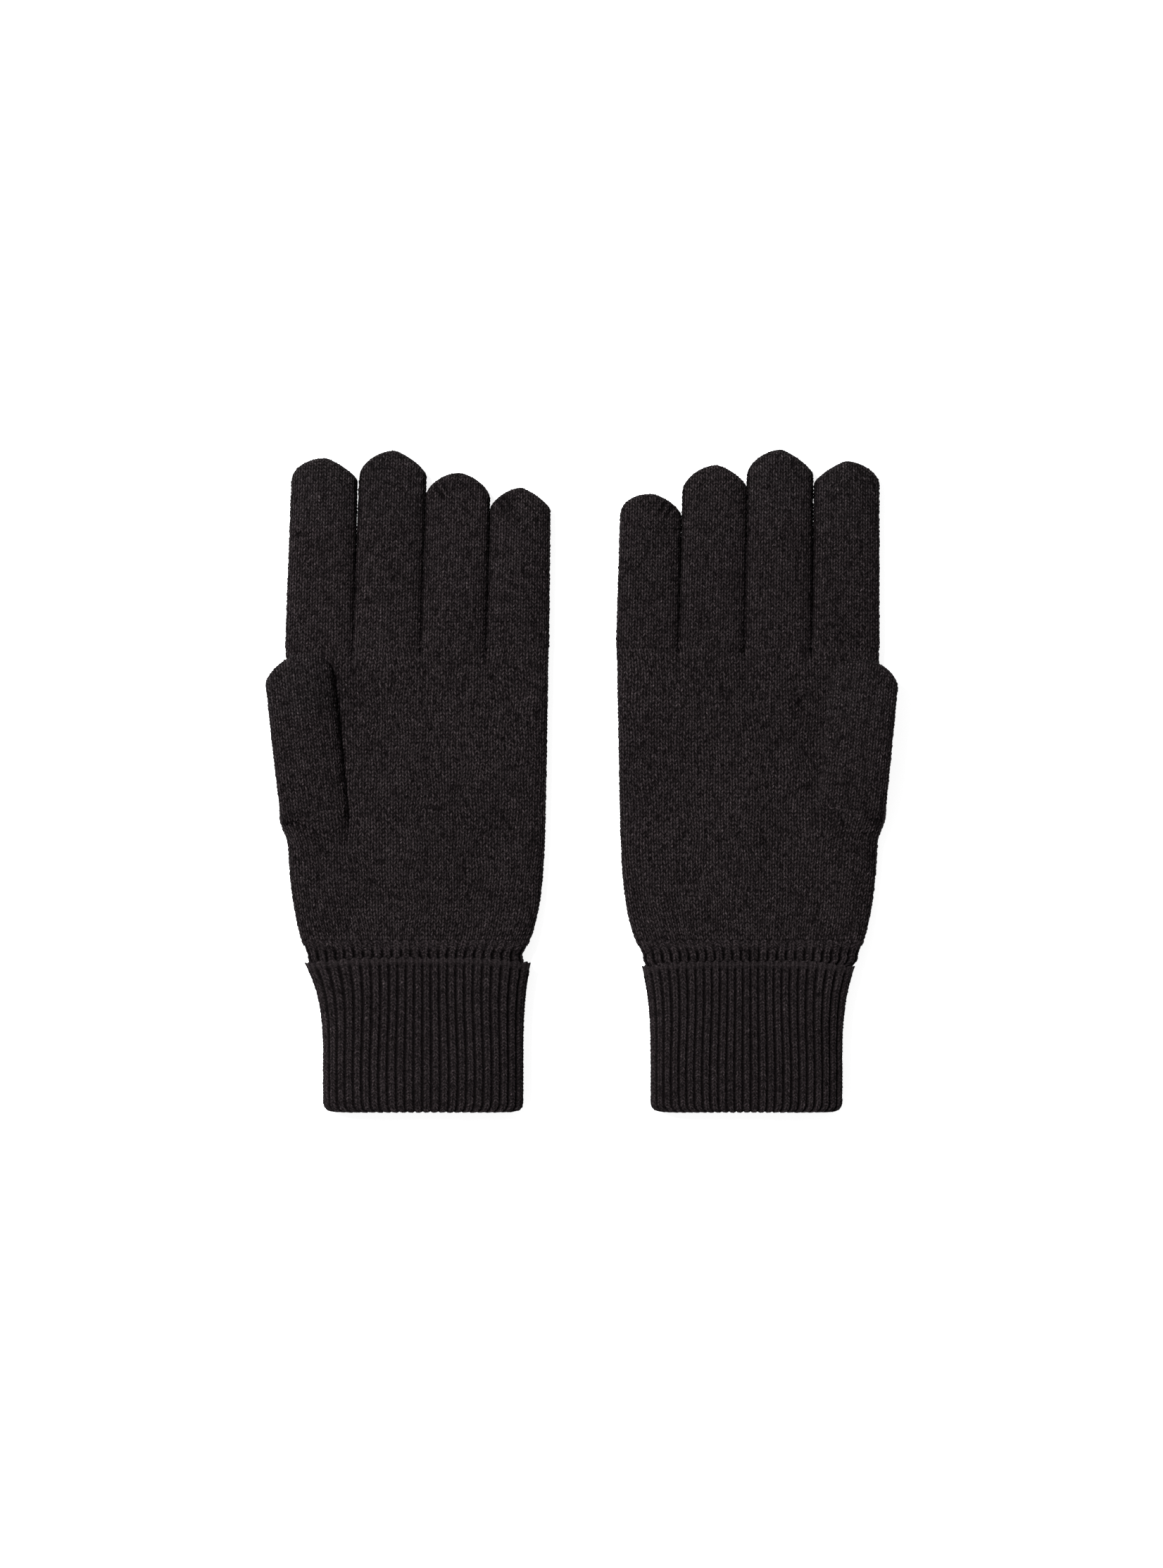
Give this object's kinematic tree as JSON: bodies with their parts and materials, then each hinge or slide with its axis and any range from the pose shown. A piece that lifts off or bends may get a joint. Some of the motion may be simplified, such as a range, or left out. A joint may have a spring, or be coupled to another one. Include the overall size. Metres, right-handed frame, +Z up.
{
  "type": "touchscreen gloves",
  "caption": "Pair of knitted touchscreen gloves lying palms up, with four fingers, a thumb and a ribbed wrist folded up over itself on each hand.",
  "frame": {"origin": "middle of the pair's footprint, on the surface they lie on", "axes": "+Y towards the fingertips, +Z up from the surface out of the palms, +X to the right with the left-hand glove at -X"},
  "size_m": [0.24, 0.251, 0.0159],
  "materials": {
    "jersey_knit": "fine charcoal-black stockinette, matt and slightly fuzzy",
    "rib_knit": "the same yarn knitted as one-by-one rib, matt and fuzzy",
    "touch_yarn": "black yarn with fine conductive fibre, a little smoother"
  },
  "bodies": {
    "hands": {"left_hand": "jersey_knit", "left_thumb_gusset": "jersey_knit", "left_inner_cuff": "rib_knit", "right_hand": "jersey_knit", "right_thumb_gusset": "jersey_knit", "right_inner_cuff": "rib_knit"},
    "left_cuff_turn_up": {"left_turned_cuff": "rib_knit"},
    "left_little_base": {"left_little_lower": "jersey_knit"},
    "left_little_end": {"left_little_upper": "jersey_knit"},
    "left_ring_base": {"left_ring_lower": "jersey_knit"},
    "left_ring_end": {"left_ring_upper": "jersey_knit"},
    "left_middle_base": {"left_middle_lower": "jersey_knit"},
    "left_middle_end": {"left_middle_upper": "jersey_knit", "left_middle_touch_tip": "touch_yarn"},
    "left_index_base": {"left_index_lower": "jersey_knit"},
    "left_index_end": {"left_index_upper": "jersey_knit", "left_index_touch_tip": "touch_yarn"},
    "left_thumb_base": {"left_thumb_lower": "jersey_knit"},
    "left_thumb_end": {"left_thumb_upper": "jersey_knit", "left_thumb_touch_tip": "touch_yarn"},
    "right_cuff_turn_up": {"right_turned_cuff": "rib_knit"},
    "right_little_base": {"right_little_lower": "jersey_knit"},
    "right_little_end": {"right_little_upper": "jersey_knit"},
    "right_ring_base": {"right_ring_lower": "jersey_knit"},
    "right_ring_end": {"right_ring_upper": "jersey_knit"},
    "right_middle_base": {"right_middle_lower": "jersey_knit"},
    "right_middle_end": {"right_middle_upper": "jersey_knit", "right_middle_touch_tip": "touch_yarn"},
    "right_index_base": {"right_index_lower": "jersey_knit"},
    "right_index_end": {"right_index_upper": "jersey_knit", "right_index_touch_tip": "touch_yarn"},
    "right_thumb_base": {"right_thumb_lower": "jersey_knit"},
    "right_thumb_end": {"right_thumb_upper": "jersey_knit", "right_thumb_touch_tip": "touch_yarn"}
  },
  "joints": [
    {"name": "left_cuff_turn_down", "type": "slide", "parent": "hands", "child": "left_cuff_turn_up", "axis": [0, -1, 0], "range_m": [0, 0.05]},
    {"name": "left_little_root", "type": "hinge", "parent": "hands", "child": "left_little_base", "pos_m": [-0.02439, 0.0541, 0.004], "axis": [1, 0, 0], "range_deg": [-30, 90]},
    {"name": "left_little_knuckle", "type": "hinge", "parent": "left_little_base", "child": "left_little_end", "pos_m": [-0.02385, 0.0798, 0.004], "axis": [1, 0, 0], "range_deg": [0, 90]},
    {"name": "left_ring_root", "type": "hinge", "parent": "hands", "child": "left_ring_base", "pos_m": [-0.04864, 0.0541, 0.004], "axis": [1, 0, 0], "range_deg": [-30, 90]},
    {"name": "left_ring_knuckle", "type": "hinge", "parent": "left_ring_base", "child": "left_ring_end", "pos_m": [-0.04783, 0.0838, 0.004], "axis": [1, 0, 0], "range_deg": [0, 90]},
    {"name": "left_middle_root", "type": "hinge", "parent": "hands", "child": "left_middle_base", "pos_m": [-0.07394, 0.0541, 0.004], "axis": [1, 0, 0], "range_deg": [-30, 90]},
    {"name": "left_middle_knuckle", "type": "hinge", "parent": "left_middle_base", "child": "left_middle_end", "pos_m": [-0.0728, 0.0878, 0.004], "axis": [1, 0, 0], "range_deg": [0, 90]},
    {"name": "left_index_root", "type": "hinge", "parent": "hands", "child": "left_index_base", "pos_m": [-0.09949, 0.0541, 0.004], "axis": [1, 0, 0], "range_deg": [-30, 90]},
    {"name": "left_index_knuckle", "type": "hinge", "parent": "left_index_base", "child": "left_index_end", "pos_m": [-0.09865, 0.0858, 0.004], "axis": [1, 0, 0], "range_deg": [0, 90]},
    {"name": "left_thumb_root", "type": "hinge", "parent": "hands", "child": "left_thumb_base", "pos_m": [-0.10198, -0.00813, 0.0121], "axis": [0.9942, 0.108, 0], "range_deg": [0, 90]},
    {"name": "left_thumb_knuckle", "type": "hinge", "parent": "left_thumb_base", "child": "left_thumb_end", "pos_m": [-0.10467, 0.01663, 0.0121], "axis": [0.9942, 0.108, 0], "range_deg": [0, 80]},
    {"name": "right_cuff_turn_down", "type": "slide", "parent": "hands", "child": "right_cuff_turn_up", "axis": [0, -1, 0], "range_m": [0, 0.05]},
    {"name": "right_little_root", "type": "hinge", "parent": "hands", "child": "right_little_base", "pos_m": [0.02531, 0.0541, 0.004], "axis": [1, 0, 0], "range_deg": [-30, 90]},
    {"name": "right_little_knuckle", "type": "hinge", "parent": "right_little_base", "child": "right_little_end", "pos_m": [0.02588, 0.0798, 0.004], "axis": [1, 0, 0], "range_deg": [0, 90]},
    {"name": "right_ring_root", "type": "hinge", "parent": "hands", "child": "right_ring_base", "pos_m": [0.04956, 0.0541, 0.004], "axis": [1, 0, 0], "range_deg": [-30, 90]},
    {"name": "right_ring_knuckle", "type": "hinge", "parent": "right_ring_base", "child": "right_ring_end", "pos_m": [0.05028, 0.0838, 0.004], "axis": [1, 0, 0], "range_deg": [0, 90]},
    {"name": "right_middle_root", "type": "hinge", "parent": "hands", "child": "right_middle_base", "pos_m": [0.07486, 0.0541, 0.004], "axis": [1, 0, 0], "range_deg": [-30, 90]},
    {"name": "right_middle_knuckle", "type": "hinge", "parent": "right_middle_base", "child": "right_middle_end", "pos_m": [0.07528, 0.0878, 0.004], "axis": [1, 0, 0], "range_deg": [0, 90]},
    {"name": "right_index_root", "type": "hinge", "parent": "hands", "child": "right_index_base", "pos_m": [0.10041, 0.0541, 0.004], "axis": [1, 0, 0], "range_deg": [-30, 90]},
    {"name": "right_index_knuckle", "type": "hinge", "parent": "right_index_base", "child": "right_index_end", "pos_m": [0.10069, 0.0858, 0.004], "axis": [1, 0, 0], "range_deg": [0, 90]},
    {"name": "right_thumb_root", "type": "hinge", "parent": "hands", "child": "right_thumb_base", "pos_m": [0.10285, -0.00712, 0.0121], "axis": [0.9954, -0.0958, 0], "range_deg": [0, 90]},
    {"name": "right_thumb_knuckle", "type": "hinge", "parent": "right_thumb_base", "child": "right_thumb_end", "pos_m": [0.10524, 0.01766, 0.0121], "axis": [0.9954, -0.0958, 0], "range_deg": [0, 80]}
  ]
}
